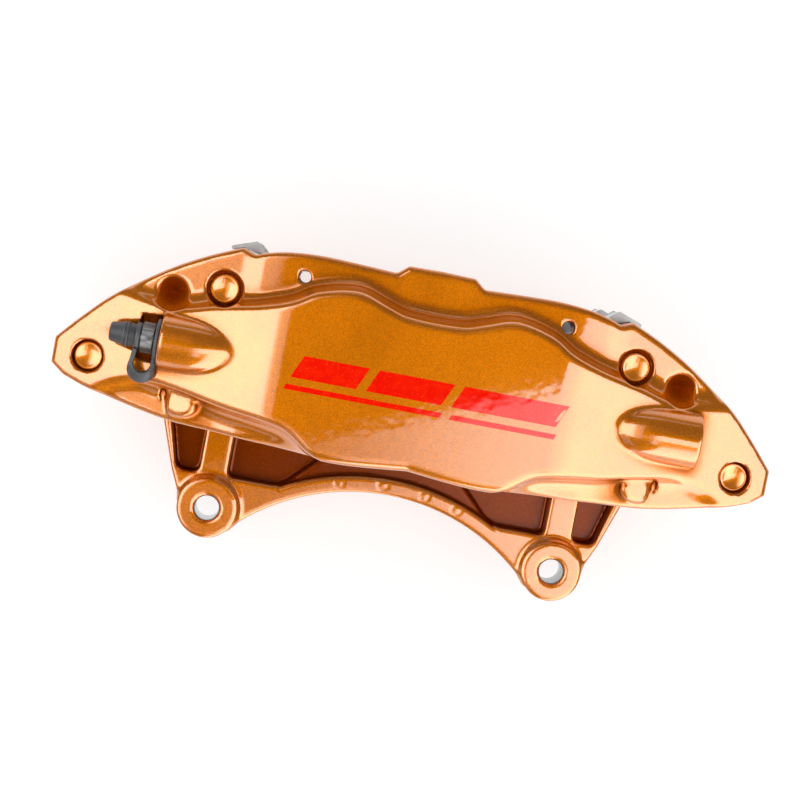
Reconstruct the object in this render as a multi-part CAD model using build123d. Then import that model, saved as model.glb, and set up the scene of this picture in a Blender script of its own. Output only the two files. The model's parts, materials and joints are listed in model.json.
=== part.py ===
from build123d import *
import os
from math import radians, sqrt, tan

# Two-piece fixed brake caliper with two pistons on each side of the rotor.
# Frame: X along the caliper, +Y inboard (along the rotor axis), +Z away from the rotor's centre.
# Origin: midway between the two mounting holes, on the lugs' inboard mounting face.
# "Depth" below is the distance from the rotor's mid-plane: the outer half lies on the -Y side of it
# and the inner half on the +Y side, so the same features serve both halves with a change of side.

# ---------------------------------------------------------------- driving dimensions, mm
MOUNT_SPACING = 155.0
MOUNT_HOLE_R = 5.3            # tapped M12
ROTOR_MID_Y = -45.0
ROTOR_Z = -58.0               # rotor axis, below the mounting holes
SLOT_R = 165.0                # rotor radius 163 and clearance
SLOT_HALF_WIDTH = 17.0        # rotor 30 thick and clearance
HALF_LENGTH = 147.0

PAD_WINDOW_HALF = 72.5        # pads bear on plates at each end of this window
FLANGE_STEP_X = 74.5
LAND_FOOT_Z = 116.4           # the outer half has a raised land in the middle of its top edge
CHEEK_DEPTH = 34.0            # face that the pistons come out of
BAND_DEPTH = 49.0             # upper and lower flange
FACE_DEPTH = 64.0             # raised front face, and the backs of the piston housings
INNER_BACK_DEPTH = 46.0       # back of the inner half, where the bolt heads seat
CREASE_X = 60.5               # beyond this the front falls away towards the tips
FACE_SLOPE = 16.5
BAND_SLOPE = 4.5

PISTON_X = 31.0
PISTON_Z = 72.3
PISTON_R = {"left": 20.0, "right": 23.0}
BORE_DEPTH = 56.0
PISTON_WALL = 4.0
PISTON_FLOOR = 4.0
PISTON_CHAMFER = 1.0
HOUSING_WALL = 8.0            # metal round each bore of the inner half
WAIST_HEIGHT = 34.0           # between the inner half's two housings
PISTON_REST_GAP = 0.4         # piston's mouth stands this far behind the cheek face
RUNNING_GAP = 0.05
SEAL_DEPTH = 39.0
SEAL_WIDTH = 3.2
SEAL_HEIGHT = 3.0
BACK_GAP = 0.6                # behind the piston, and beyond the end of the bleed screw's seat
BOOT_SEAT_DEPTH = 3.0
BOOT_WIDTH = 3.5

END_BOLT = (132.7, 60.6)
UPPER_BOLT = (83.9, 97.1)
BOLT_R = 6.0
BOLT_RECESS_R = 8.0
BOLT_RECESS_DEPTH = 2.0
BOLT_TIP_SETBACK = 1.4
BOLT_TIP_CHAMFER = 1.2
BOLT_DIMPLE_R = 4.0
BOLT_DIMPLE_DEPTH = 1.3
BOLT_HEAD_R = 9.0
BOLT_HEAD_HEIGHT = 12.0
BOLT_FLANGE_HEIGHT = 2.5
BOLT_KEY_AF = 10.0
BOLT_KEY_DEPTH = 6.0
CONE_HOLE = (104.0, 92.1)
CONE_HOLE_R = 7.2
CONE_HOLE_DEEP = 13.0
CONE_MOUTH_DEPTH = 46.0
PIN_HOLE = (53.6, 107.7)
PIN_HOLE_R = 2.5

BOSS_R = 10.8
BOSS_DEPTH = 51.5
BOSS_Z = 72.5
BOSS_NOSE_X = {"left": 76.0, "right": 78.0}
BOSS_NOSE_LENGTH = 12.0
BUMP = (93.7, 49.0)           # small pad in the scallop under each boss
BUMP_SIZE = (13.4, 8.0)
BUMP_DEPTH = 51.0
RIDGE_R = 6.5                 # metal round the fluid drilling, between a boss and its bore
RIDGE_END_X = 49.0
BLEED_BOSS_END = {"outer": 105.0, "inner": 93.0}
BLANK_BOSS_END = 113.0
GALLERY_R = 2.0
CROSSOVER_R = 1.6
CROSSOVER_X = 109.5
O_RING_R = 3.3
O_RING_SECTION_R = 0.62
O_RING_GROOVE_R = 4.2
O_RING_GROOVE_DEPTH = 1.3

BLEED_THREAD_R = 5.0
BLEED_THREAD_LENGTH = 17.0
BLEED_SEAT_LENGTH = 3.2
BLEED_NECK_R = 4.0
BLEED_NECK_LENGTH = 2.2
BLEED_HEX_AF = 11.0
BLEED_HEX_LENGTH = 5.4
NIPPLE_R = 3.2
NIPPLE_LENGTH = 9.5
BLEED_PASSAGE_R = 1.0
SPOT_FACE_R = 9.6
SPOT_FACE_LENGTH = 9.0
CAP_CHANNEL_R = 6.2           # room to pull the cap off
CAP_CHANNEL_LENGTH = 27.0
CAP_LENGTH = 12.4
CAP_BASE_R = 5.4
TETHER_RING_R = 7.0
TETHER_LOOP_R = 5.2
TETHER_THICK = 2.4

LUG_BOSS_R = 13.4
LUG_FRONT_DEPTH = 27.0
LUG_BACK_DEPTH = 45.0
WEB_DEPTH = 29.0
ARCH_R = 94.4                 # arch between the lugs
ARCH_TOP_Z = 19.7
POCKET_DEPTH = 40.0
COUNTERSINK = 1.1

PLATE_THICK = 1.5
PLATE_SIDE_GAP = 0.5
PLATE_FOOT_Z = 56.0
PLATE_SCREW_R = 1.9
PLATE_SCREW_HEAD_R = 3.2
PLATE_SCREW_LENGTH = 8.0
INLET = (93.0, 72.5)
INLET_R = 4.5                 # tapped M10
INLET_LENGTH = 10.5
INLET_FACE_R = 8.0
INLET_FACE_DEPTH = 60.5

SIDES = {"outer": -1, "inner": 1}
ENDS = {"left": -1, "right": 1}
CLEAR = 1.0                   # how far a cut runs past the surface that it opens


# ---------------------------------------------------------------- helpers
def depth_y(side, depth):
    """Y of a plane that lies at a depth from the rotor's mid-plane, on one side of it."""
    return ROTOR_MID_Y + SIDES[side] * depth


def slab(sketch, side, near, far):
    """An outline in X and Z made solid between two depths."""
    high = max(depth_y(side, near), depth_y(side, far))
    return extrude(Plane.XZ.offset(-high) * sketch, amount=abs(far - near))


def rod_y(x, z, radius, side, near, far):
    """A cylinder across the rotor's plane, between two depths."""
    return slab(Pos(x, z) * Circle(radius), side, near, far)


def rod_x(x_from, x_to, radius, side, z=BOSS_Z, depth=BOSS_DEPTH):
    """A cylinder along the caliper, centred on the boss axis unless told otherwise."""
    middle = (x_from + x_to) / 2
    place = Pos(middle, depth_y(side, depth), z) * Rot(0, 90, 0)
    return place * Cylinder(radius, abs(x_to - x_from))


def cone_x(x_from, x_to, r_from, r_to, side):
    """A cone along the boss axis, with its radius given at each end."""
    length = abs(x_to - x_from)
    turn = 90 if x_to > x_from else -90
    place = Pos((x_from + x_to) / 2, depth_y(side, BOSS_DEPTH), BOSS_Z) * Rot(0, turn, 0)
    return place * Cone(r_from, r_to, length)


def cone_y(x, z, r_near, r_far, side, near, far):
    """A cone across the rotor's plane, with its radius given at each depth."""
    turn = 90 if side == "outer" else -90
    place = Pos(x, depth_y(side, (near + far) / 2), z) * Rot(turn, 0, 0)
    return place * Cone(r_near, r_far, far - near)


def mirrored(half_edges):
    """A face from the edges of its right half."""
    left_edges = [edge.mirror(Plane.YZ) for edge in half_edges]
    return make_face(half_edges + left_edges)


def front_limit(side, depth, slope):
    """Everything behind a front face that is flat in the middle and falls away towards both tips."""
    reach = HALF_LENGTH + 5
    tip_depth = depth - (reach - CREASE_X) * tan(radians(slope))
    plan = Polyline(
        (-reach, depth_y(side, 0)),
        (-reach, depth_y(side, tip_depth)),
        (-CREASE_X, depth_y(side, depth)),
        (CREASE_X, depth_y(side, depth)),
        (reach, depth_y(side, tip_depth)),
        (reach, depth_y(side, 0)),
        close=True,
    )
    return Pos(0, 0, -30) * extrude(make_face(plan), amount=180)


# ---------------------------------------------------------------- outlines, in X and Z
def silhouette():
    """The whole outline shared by both halves, without the lugs."""
    land_end, step_foot, step_top = (17.5, 116.4), (FLANGE_STEP_X, 112.7), (79.5, 114.6)
    tip_top, tip_bottom, tip_corner = (HALF_LENGTH, 65.7), (HALF_LENGTH, 55.5), (141.5, 51.4)
    land = Polyline((0, 120.2), (14, 119.9), land_end)
    flange = Spline(land_end, (32, 116.9), (48, 117.3), (61, 116.3), (70, 114.3), step_foot)
    step = Line(step_foot, step_top)
    shoulder = Spline(step_top, (92.4, 109), (107.5, 100.6), (126, 87.3), (137.3, 76.4), tip_top)
    tip = Polyline(tip_top, tip_bottom, tip_corner)
    under = Spline(tip_corner, (128, 47.2), (100, 41.5), (78, 40), (42, 38.2), (24, 38), (0, 40.2))
    return mirrored([*land.edges(), flange, step, shoulder, *tip.edges(), under])


def raised_face():
    """The front face: below the wavy edge, above the scallops, and out to both tips.

    The wavy edge has two crowns over the pistons and a valley between them.
    """
    valley = [(0, 99.2), (11.8, 99.8), (20.2, 102.3)]
    crown = [(32, 105.6), (46.6, 102.6), (56.1, 97.3)]
    fall = [(68, 93.4), (85.7, 89.6)]
    top = Spline(*valley, *crown, *fall)
    to_tip = Spline((85.7, 89.6), (101.6, 86), (123, 87.8))
    around = Polyline((123, 87.8), (123, 100), (155, 100), (155, 44), (135, 44), (125.6, 51))
    outboard = [(125.6, 51), (119.3, 53.9), (109, 56), (94.5, 54.4)]
    inboard = [(76.4, 51.4), (58.4, 49.4), (47.9, 46.2), (35, 38)]
    scallop = Spline(*outboard, *inboard)
    below = Polyline((35, 38), (35, 30), (0, 30))
    return mirrored([top, to_tip, *around.edges(), scallop, *below.edges()])


def lug_web():
    """The inner half's lower web, with the arch between the lugs."""
    centre_z = ARCH_TOP_Z - ARCH_R
    foot_x = 66.5
    foot_z = centre_z + sqrt(ARCH_R**2 - foot_x**2)
    arch = ThreePointArc((0, ARCH_TOP_Z), (34, centre_z + sqrt(ARCH_R**2 - 34**2)), (foot_x, foot_z))
    lug = Polyline((foot_x, foot_z), (MOUNT_SPACING / 2, 0), (90.5, 2), (96, 14), (103, 34), (108, 50))
    return mirrored([arch, *lug.edges(), *Line((108, 50), (0, 50)).edges()])


# ---------------------------------------------------------------- features that both halves share
def window_and_slot(side):
    """The pad window and the rotor slot, which leave a bridge at each end."""
    window = slab(Pos(0, 60) * Rectangle(2 * PAD_WINDOW_HALF, 200), side, 0, CHEEK_DEPTH)
    slot = rod_y(0, ROTOR_Z, SLOT_R, side, 0, SLOT_HALF_WIDTH)
    return window + slot


def piston_bore(side, end):
    """A bore with its seal groove and its seat for the dust boot."""
    x = ENDS[end] * PISTON_X
    radius = PISTON_R[end] + RUNNING_GAP
    bore = rod_y(x, PISTON_Z, radius, side, CHEEK_DEPTH, BORE_DEPTH)
    groove = rod_y(x, PISTON_Z, radius + SEAL_HEIGHT, side, SEAL_DEPTH, SEAL_DEPTH + SEAL_WIDTH)
    seat = rod_y(x, PISTON_Z, radius + BOOT_WIDTH, side, CHEEK_DEPTH, CHEEK_DEPTH + BOOT_SEAT_DEPTH)
    return bore + groove + seat


def cylinder_bosses(side):
    """A round boss at each end, tapering to a ridge: the left one takes the bleed screw."""
    ends = {"left": BLEED_BOSS_END[side], "right": BLANK_BOSS_END}
    bosses = []
    for end, sign in ENDS.items():
        nose_x = sign * BOSS_NOSE_X[end]
        ridge_x = nose_x - sign * BOSS_NOSE_LENGTH
        bosses.append(rod_x(sign * ends[end], nose_x, BOSS_R, side))
        bosses.append(cone_x(nose_x, ridge_x, BOSS_R, RIDGE_R, side))
        bosses.append(rod_x(ridge_x, sign * RIDGE_END_X, RIDGE_R, side))
    return sum(bosses[1:], bosses[0])


def fluid_passages(side):
    """The drilling that joins the bleed screw, both bores and the crossover to the other half."""
    face = -BLEED_BOSS_END[side]
    thread = rod_x(face, face + BLEED_THREAD_LENGTH, BLEED_THREAD_R, side)
    spot_face = rod_x(face - SPOT_FACE_LENGTH, face, SPOT_FACE_R, side)
    channel = rod_x(face - CAP_CHANNEL_LENGTH, face, CAP_CHANNEL_R, side)
    gallery = rod_x(face, CROSSOVER_X + GALLERY_R, GALLERY_R, side)
    crossover = rod_y(CROSSOVER_X, BOSS_Z, CROSSOVER_R, side, 0, BOSS_DEPTH)
    return thread + spot_face + channel + gallery + crossover


def plate_screw_holes(side):
    """Holes for the screws of the two abutment plates."""
    depth = sum(plate_depths()) / 2
    reach = PAD_WINDOW_HALF + PLATE_SCREW_LENGTH + CLEAR
    return both_ends(rod_x(PAD_WINDOW_HALF, reach, PLATE_SCREW_R + 0.1, side, BOSS_Z, depth))


def both_ends(feature):
    """A feature made at +X, joined with its mirror image."""
    return feature + mirror(feature, Plane.YZ)


# ---------------------------------------------------------------- the two castings
def make_outer_half():
    side = "outer"
    outline = silhouette()
    flange = slab(outline, side, 0, FACE_DEPTH) & front_limit(side, BAND_DEPTH, BAND_SLOPE)
    tips = front_limit(side, FACE_DEPTH, FACE_SLOPE)
    flange = flange & (tips + slab(Pos(0, 60) * Rectangle(2 * CREASE_X, 200), side, 0, FACE_DEPTH))
    face = slab(raised_face() & outline, side, CHEEK_DEPTH, FACE_DEPTH) & tips
    bumps = both_ends(slab(Pos(*BUMP) * Rectangle(*BUMP_SIZE), side, CHEEK_DEPTH, BUMP_DEPTH))
    body = flange + face + bumps - window_and_slot(side)
    body = body + cylinder_bosses(side)
    body = body - fluid_passages(side) - plate_screw_holes(side)
    for end in ENDS:
        body = body - piston_bore(side, end)
    cuts = rod_y(*PIN_HOLE, PIN_HOLE_R, side, CHEEK_DEPTH - CLEAR, BAND_DEPTH + CLEAR)
    cuts += cone_y(*CONE_HOLE, 0.5, CONE_HOLE_R, side, CONE_MOUTH_DEPTH - CONE_HOLE_DEEP, CONE_MOUTH_DEPTH)
    cuts += rod_y(*CONE_HOLE, CONE_HOLE_R, side, CONE_MOUTH_DEPTH, FACE_DEPTH)
    for spot in (END_BOLT, UPPER_BOLT):
        surface = bolt_mouth_depth(spot)
        cuts += rod_y(*spot, BOLT_R + RUNNING_GAP, side, 0, FACE_DEPTH)
        cuts += rod_y(*spot, BOLT_RECESS_R, side, surface - BOLT_RECESS_DEPTH, FACE_DEPTH)
    return body - both_ends(cuts)


def bolt_mouth_depth(spot):
    """Depth of the casting's front at a bridge bolt."""
    x = spot[0]
    on_face = FACE_DEPTH - (x - CREASE_X) * tan(radians(FACE_SLOPE))
    on_band = BAND_DEPTH - (x - CREASE_X) * tan(radians(BAND_SLOPE))
    return on_band if spot == UPPER_BOLT else on_face


def make_inner_half():
    side = "inner"
    land = Pos(0, LAND_FOOT_Z + 10) * Rectangle(50, 20)
    shell = slab(silhouette() - land, side, 0, INNER_BACK_DEPTH)
    web = slab(lug_web(), side, WEB_DEPTH, LUG_BACK_DEPTH)
    lugs = both_ends(rod_y(MOUNT_SPACING / 2, 0, LUG_BOSS_R, side, LUG_FRONT_DEPTH, LUG_BACK_DEPTH))
    pad_room = slab(Pos(0, 85) * Rectangle(2 * PAD_WINDOW_HALF, 80), side, 0, CHEEK_DEPTH)   # above Z 45
    body = shell - window_and_slot(side) + (web - pad_room) + lugs
    body = body - web_pockets(side)
    for end, sign in ENDS.items():
        housing_r = PISTON_R[end] + HOUSING_WALL
        body += rod_y(sign * PISTON_X, PISTON_Z, housing_r, side, CHEEK_DEPTH, FACE_DEPTH)
    waist = slab(Pos(0, PISTON_Z) * Rectangle(2 * PISTON_X, WAIST_HEIGHT), side, CHEEK_DEPTH, FACE_DEPTH)
    body = body + waist + cylinder_bosses(side)
    body = body - fluid_passages(side) - plate_screw_holes(side)
    for end in ENDS:
        body = body - piston_bore(side, end)
    cuts = rod_y(*PIN_HOLE, PIN_HOLE_R, side, CHEEK_DEPTH - CLEAR, INNER_BACK_DEPTH + CLEAR)
    cuts += rod_y(MOUNT_SPACING / 2, 0, MOUNT_HOLE_R, side, LUG_FRONT_DEPTH, LUG_BACK_DEPTH)
    mouth_r = MOUNT_HOLE_R + COUNTERSINK
    mouth = (LUG_FRONT_DEPTH, LUG_FRONT_DEPTH + COUNTERSINK)
    cuts += cone_y(MOUNT_SPACING / 2, 0, mouth_r, MOUNT_HOLE_R, side, *mouth)
    for spot in (END_BOLT, UPPER_BOLT):
        cuts += rod_y(*spot, BOLT_R + RUNNING_GAP, side, 0, INNER_BACK_DEPTH)
    body = body - both_ends(cuts)
    port_mouth = BOSS_DEPTH + BOSS_R + CLEAR
    port = rod_y(*INLET, INLET_R, side, INLET_FACE_DEPTH - INLET_LENGTH, port_mouth)
    port_face = rod_y(*INLET, INLET_FACE_R, side, INLET_FACE_DEPTH, port_mouth)
    ring_groove = rod_y(CROSSOVER_X, BOSS_Z, O_RING_GROOVE_R, side, 0, O_RING_GROOVE_DEPTH)
    return body - port - port_face - ring_groove


def web_pockets(side):
    """Pockets beside each lug's rib, and the recess behind the arch's rim."""
    inner = Polyline((48, 15), (70.5, 15), (71.5, 42), (33, 42), (33, 31), close=True)
    outer = Polyline((84.5, 17), (94, 17), (100.5, 42), (84, 42), close=True)
    middle = Polyline((0, 26.5), (30, 21.5), (48, 15), (48, 46), (0, 46), close=True)
    deep = slab(make_face(inner), side, 0, POCKET_DEPTH) + slab(make_face(outer), side, 0, POCKET_DEPTH)
    return both_ends(deep + slab(make_face(middle), side, 0, CHEEK_DEPTH))


# ---------------------------------------------------------------- fastenings and fittings
def make_bridge_bolts(spot):
    """A pair of bridge bolts: heads on the inner half, threaded tips recessed in the outer half."""
    tip = bolt_mouth_depth(spot) - BOLT_TIP_SETBACK
    neck = tip - BOLT_TIP_CHAMFER
    seat = INNER_BACK_DEPTH
    top = seat + BOLT_HEAD_HEIGHT
    shank = rod_y(*spot, BOLT_R, "inner", 0, seat) + rod_y(*spot, BOLT_R, "outer", 0, neck)
    point = cone_y(*spot, BOLT_R, BOLT_R - BOLT_TIP_CHAMFER, "outer", neck, tip)
    dimple = cone_y(*spot, 0.4, BOLT_DIMPLE_R, "outer", tip - BOLT_DIMPLE_DEPTH, tip)
    flange = rod_y(*spot, BOLT_HEAD_R, "inner", seat, seat + BOLT_FLANGE_HEIGHT)
    head = rod_y(*spot, BOLT_HEAD_R - 1.5, "inner", seat + BOLT_FLANGE_HEIGHT, top)
    hexagon = Pos(*spot) * RegularPolygon(BOLT_KEY_AF / 2, 6, major_radius=False)
    key = slab(hexagon, "inner", top - BOLT_KEY_DEPTH, top)
    return both_ends(shank + point - dimple + flange + head - key)


def make_piston(side, end):
    """A cup with its open end towards the pad."""
    x = ENDS[end] * PISTON_X
    radius = PISTON_R[end]
    mouth = CHEEK_DEPTH + PISTON_REST_GAP
    back = BORE_DEPTH - BACK_GAP
    shoulder = back - PISTON_CHAMFER
    cup = rod_y(x, PISTON_Z, radius, side, mouth, shoulder)
    cup += cone_y(x, PISTON_Z, radius, radius - PISTON_CHAMFER, side, shoulder, back)
    return cup - rod_y(x, PISTON_Z, radius - PISTON_WALL, side, mouth, back - PISTON_FLOOR)


def make_seal(side, end):
    """A square-section ring in the bore's groove."""
    x = ENDS[end] * PISTON_X
    radius = PISTON_R[end]
    near = SEAL_DEPTH + RUNNING_GAP
    far = SEAL_DEPTH + SEAL_WIDTH - RUNNING_GAP
    ring = rod_y(x, PISTON_Z, radius + SEAL_HEIGHT, side, near, far)
    return ring - rod_y(x, PISTON_Z, radius + RUNNING_GAP, side, near, far)


def make_boot(side, end):
    """The dust boot's envelope, seated in the bore's mouth round the piston."""
    x = ENDS[end] * PISTON_X
    radius = PISTON_R[end]
    near = CHEEK_DEPTH + 0.2
    far = CHEEK_DEPTH + BOOT_SEAT_DEPTH - 0.1
    ring = rod_y(x, PISTON_Z, radius + BOOT_WIDTH, side, near, far)
    return ring - rod_y(x, PISTON_Z, radius + RUNNING_GAP, side, near, far)


def plate_section(end):
    """An abutment plate seen along Y: a leg on the window's end, and a wedge-shaped lip."""
    inside = PAD_WINDOW_HALF - PLATE_THICK
    leg = [(PAD_WINDOW_HALF, 113.9), (PAD_WINDOW_HALF, PLATE_FOOT_Z), (inside, PLATE_FOOT_Z), (inside, 114.6)]
    lip = [(75.0, 118.0), (84.8, 114.6), (84.6, 113.4), (79.5, 115.1), (75.0, 113.5)]
    section = make_face(Polyline(*leg, *lip, close=True))
    return section if ENDS[end] > 0 else mirror(section, Plane.YZ)


def plate_depths():
    """Near and far edges of an abutment plate, clear of the slot and the cheek."""
    return SLOT_HALF_WIDTH + PLATE_SIDE_GAP, CHEEK_DEPTH - PLATE_SIDE_GAP


def make_abutment_plate(side, end):
    """A steel plate that a pad's end slides on, with a lip over the top of the casting."""
    sign = ENDS[end]
    plate = slab(plate_section(end), side, *plate_depths())
    inside = PAD_WINDOW_HALF - PLATE_THICK
    middle_depth = sum(plate_depths()) / 2
    hole = rod_x(sign * inside, sign * PAD_WINDOW_HALF, PLATE_SCREW_R + 0.1, side, BOSS_Z, middle_depth)
    return plate - hole - screw_head(side, end, 0.1)


def screw_head(side, end, gap):
    """The countersunk head of a plate screw, flush with the plate."""
    sign = ENDS[end]
    length = PLATE_THICK - 0.1
    centre_x = PAD_WINDOW_HALF - PLATE_THICK + length / 2
    place = Pos(sign * centre_x, depth_y(side, sum(plate_depths()) / 2), BOSS_Z) * Rot(0, sign * 90, 0)
    return place * Cone(PLATE_SCREW_HEAD_R + gap, PLATE_SCREW_R + gap, length)


def make_plate_screws():
    """The four countersunk screws that hold the abutment plates."""
    screws = []
    inside = PAD_WINDOW_HALF - PLATE_THICK
    depth = sum(plate_depths()) / 2
    for side in SIDES:
        for end, sign in ENDS.items():
            tip_x = PAD_WINDOW_HALF + PLATE_SCREW_LENGTH
            shank = rod_x(sign * (inside + 1), sign * tip_x, PLATE_SCREW_R, side, BOSS_Z, depth)
            drive = rod_x(sign * inside, sign * (inside + 1.2), 1.2, side, BOSS_Z, depth)
            screws.append(shank + screw_head(side, end, 0) - drive)
    return Compound(children=[screw.solid() for screw in screws])


def make_crossover_ring():
    """The O-ring that seals the fluid crossover where the halves meet."""
    place = Pos(CROSSOVER_X, depth_y("inner", O_RING_GROOVE_DEPTH / 2), BOSS_Z) * Rot(90, 0, 0)
    return place * Torus(O_RING_R, O_RING_SECTION_R)


def make_bleed_screw(side):
    """A bleed screw: conical seat, thread, neck, hexagon and hollow nipple."""
    face = -BLEED_BOSS_END[side]
    hex_start = face - BLEED_NECK_LENGTH
    hex_end = hex_start - BLEED_HEX_LENGTH
    nipple_end = hex_end - NIPPLE_LENGTH
    seat_end = face + BLEED_THREAD_LENGTH - 0.3
    seat_start = seat_end - BLEED_SEAT_LENGTH
    thread_r = BLEED_THREAD_R - RUNNING_GAP
    screw = rod_x(face, seat_start, thread_r, side)
    screw += cone_x(seat_start, seat_end, thread_r, GALLERY_R + 0.2, side)
    screw += rod_x(hex_start, face, BLEED_NECK_R, side)
    place = Pos(hex_end, depth_y(side, BOSS_DEPTH), BOSS_Z) * Rot(0, 90, 0)
    screw += place * extrude(RegularPolygon(BLEED_HEX_AF / 2, 6, major_radius=False), amount=BLEED_HEX_LENGTH)
    barb_x = nipple_end + 2
    screw += rod_x(barb_x, hex_end, NIPPLE_R - 0.5, side)
    screw += rod_x(barb_x, barb_x + 1, NIPPLE_R, side)
    screw += cone_x(barb_x, nipple_end, NIPPLE_R, NIPPLE_R - 1, side)
    return screw - rod_x(nipple_end, face + 8, BLEED_PASSAGE_R, side)


def make_bleed_cap(side):
    """The rubber cap on the nipple, with two grip rings."""
    base = -BLEED_BOSS_END[side] - BLEED_NECK_LENGTH - BLEED_HEX_LENGTH - 0.2
    cap = cone_x(base, base - CAP_LENGTH, CAP_BASE_R - 0.5, CAP_BASE_R - 1.2, side)
    cap += rod_x(base - 1.8, base, CAP_BASE_R, side)
    cap += rod_x(base - 5.6, base - 4.2, CAP_BASE_R + 0.1, side)
    cap += rod_x(base - 8.2, base - 7.2, CAP_BASE_R - 0.3, side)
    return cap - rod_x(base - NIPPLE_LENGTH - 0.3, base, NIPPLE_R + RUNNING_GAP, side)


def make_cap_tether(side):
    """The cap's strap: a ring round the screw's neck and a loop that hangs beside the hexagon."""
    ring_x = -BLEED_BOSS_END[side] - BLEED_NECK_LENGTH / 2
    ring = rod_x(ring_x - 0.8, ring_x + 0.8, TETHER_RING_R, side)
    ring -= rod_x(ring_x - CLEAR, ring_x + CLEAR, BLEED_NECK_R + RUNNING_GAP, side)
    cap_x = ring_x - BLEED_NECK_LENGTH / 2 - BLEED_HEX_LENGTH - 1.8
    middle_x = (ring_x + cap_x) / 2
    hang = BOSS_Z - 10.7
    inside_r = TETHER_LOOP_R - TETHER_THICK
    outer = Pos(middle_x, hang) * Circle(TETHER_LOOP_R)
    outer += Pos(middle_x, hang + 2.1) * Rectangle(2 * TETHER_LOOP_R, 4.2)
    inner = Pos(middle_x, hang + 0.8) * Circle(inside_r)
    inner += Pos(middle_x, hang + 3.7) * Rectangle(2 * inside_r, 6)
    loop = slab(outer - inner, side, BOSS_DEPTH - 0.4, BOSS_DEPTH + 3.6)
    hexagon_room = rod_x(cap_x - 3, ring_x - 0.8, 6.5, side)
    return ring + loop - hexagon_room


# ---------------------------------------------------------------- all nodes
def build_nodes():
    nodes = {
        "outer_half": make_outer_half(),
        "inner_half": make_inner_half(),
        "end_bridge_bolts": make_bridge_bolts(END_BOLT),
        "upper_bridge_bolts": make_bridge_bolts(UPPER_BOLT),
        "crossover_o_ring": make_crossover_ring(),
        "abutment_plate_screws": make_plate_screws(),
    }
    for side in SIDES:
        for end in ENDS:
            nodes[f"piston_{side}_{end}"] = make_piston(side, end)
            nodes[f"piston_seal_{side}_{end}"] = make_seal(side, end)
            nodes[f"dust_boot_{side}_{end}"] = make_boot(side, end)
            nodes[f"abutment_plate_{side}_{end}"] = make_abutment_plate(side, end)
        nodes[f"bleed_screw_{side}"] = make_bleed_screw(side)
        nodes[f"bleed_cap_{side}"] = make_bleed_cap(side)
        nodes[f"cap_tether_{side}"] = make_cap_tether(side)
    return nodes


os.makedirs("parts", exist_ok=True)
for name, shape in build_nodes().items():
    export_step(shape, f"parts/{name}.step")
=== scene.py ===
"""Brake caliper: gold painted castings with their bolts, screws and rubber parts, round the CAD frame."""

import json
import math
from functools import reduce

import bpy
import bmesh
import numpy as np
import openvdb
from mathutils import Matrix, Vector


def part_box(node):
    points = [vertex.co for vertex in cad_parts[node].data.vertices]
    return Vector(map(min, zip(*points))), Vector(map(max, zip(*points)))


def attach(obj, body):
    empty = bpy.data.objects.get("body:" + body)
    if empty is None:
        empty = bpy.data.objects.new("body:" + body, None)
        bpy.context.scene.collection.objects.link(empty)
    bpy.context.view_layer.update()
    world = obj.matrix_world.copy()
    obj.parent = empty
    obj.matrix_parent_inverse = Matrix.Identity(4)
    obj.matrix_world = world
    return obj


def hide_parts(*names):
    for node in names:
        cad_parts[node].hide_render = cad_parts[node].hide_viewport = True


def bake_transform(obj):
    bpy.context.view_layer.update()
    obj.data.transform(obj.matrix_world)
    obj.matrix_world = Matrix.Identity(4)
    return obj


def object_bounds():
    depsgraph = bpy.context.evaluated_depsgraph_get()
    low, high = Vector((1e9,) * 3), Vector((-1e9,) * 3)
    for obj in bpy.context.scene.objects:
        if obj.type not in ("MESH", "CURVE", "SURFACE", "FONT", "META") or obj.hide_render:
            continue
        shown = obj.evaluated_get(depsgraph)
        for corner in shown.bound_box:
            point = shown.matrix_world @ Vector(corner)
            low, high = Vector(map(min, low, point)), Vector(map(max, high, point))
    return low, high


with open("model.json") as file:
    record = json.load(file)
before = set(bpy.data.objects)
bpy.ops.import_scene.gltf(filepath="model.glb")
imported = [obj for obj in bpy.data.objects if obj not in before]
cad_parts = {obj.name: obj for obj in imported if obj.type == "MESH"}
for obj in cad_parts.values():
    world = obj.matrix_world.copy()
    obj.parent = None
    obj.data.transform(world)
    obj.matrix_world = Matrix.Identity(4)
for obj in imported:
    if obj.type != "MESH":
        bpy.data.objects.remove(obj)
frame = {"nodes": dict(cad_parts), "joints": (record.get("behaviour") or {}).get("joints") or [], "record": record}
CAD_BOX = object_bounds()

MM = 0.001
SIDES = {"outer": -1, "inner": 1}
ENDS = {"left": -1, "right": 1}
BODY = "caliper_body"

# ------------------------------------------------------------------ sizes read from the frame, in mm
mounts = {m["name"]: m for m in frame["record"]["mounts"]}
joints = {j["name"]: j for j in frame["joints"]}


def box_mm(node):
    low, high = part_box(node)
    return low / MM, high / MM


def centre_mm(node):
    low, high = box_mm(node)
    return (low + high) / 2


def mount_xz(name):
    x, _, z = mounts[name]["pos_m"]
    return x / MM, z / MM


def bleed_place(pos):
    """How far left a bleed screw's boss ends, its depth from the rotor's mid-plane, and its height."""
    return -pos[0] / MM, abs(pos[1] / MM - ROTOR_MID_Y), pos[2] / MM


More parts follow.
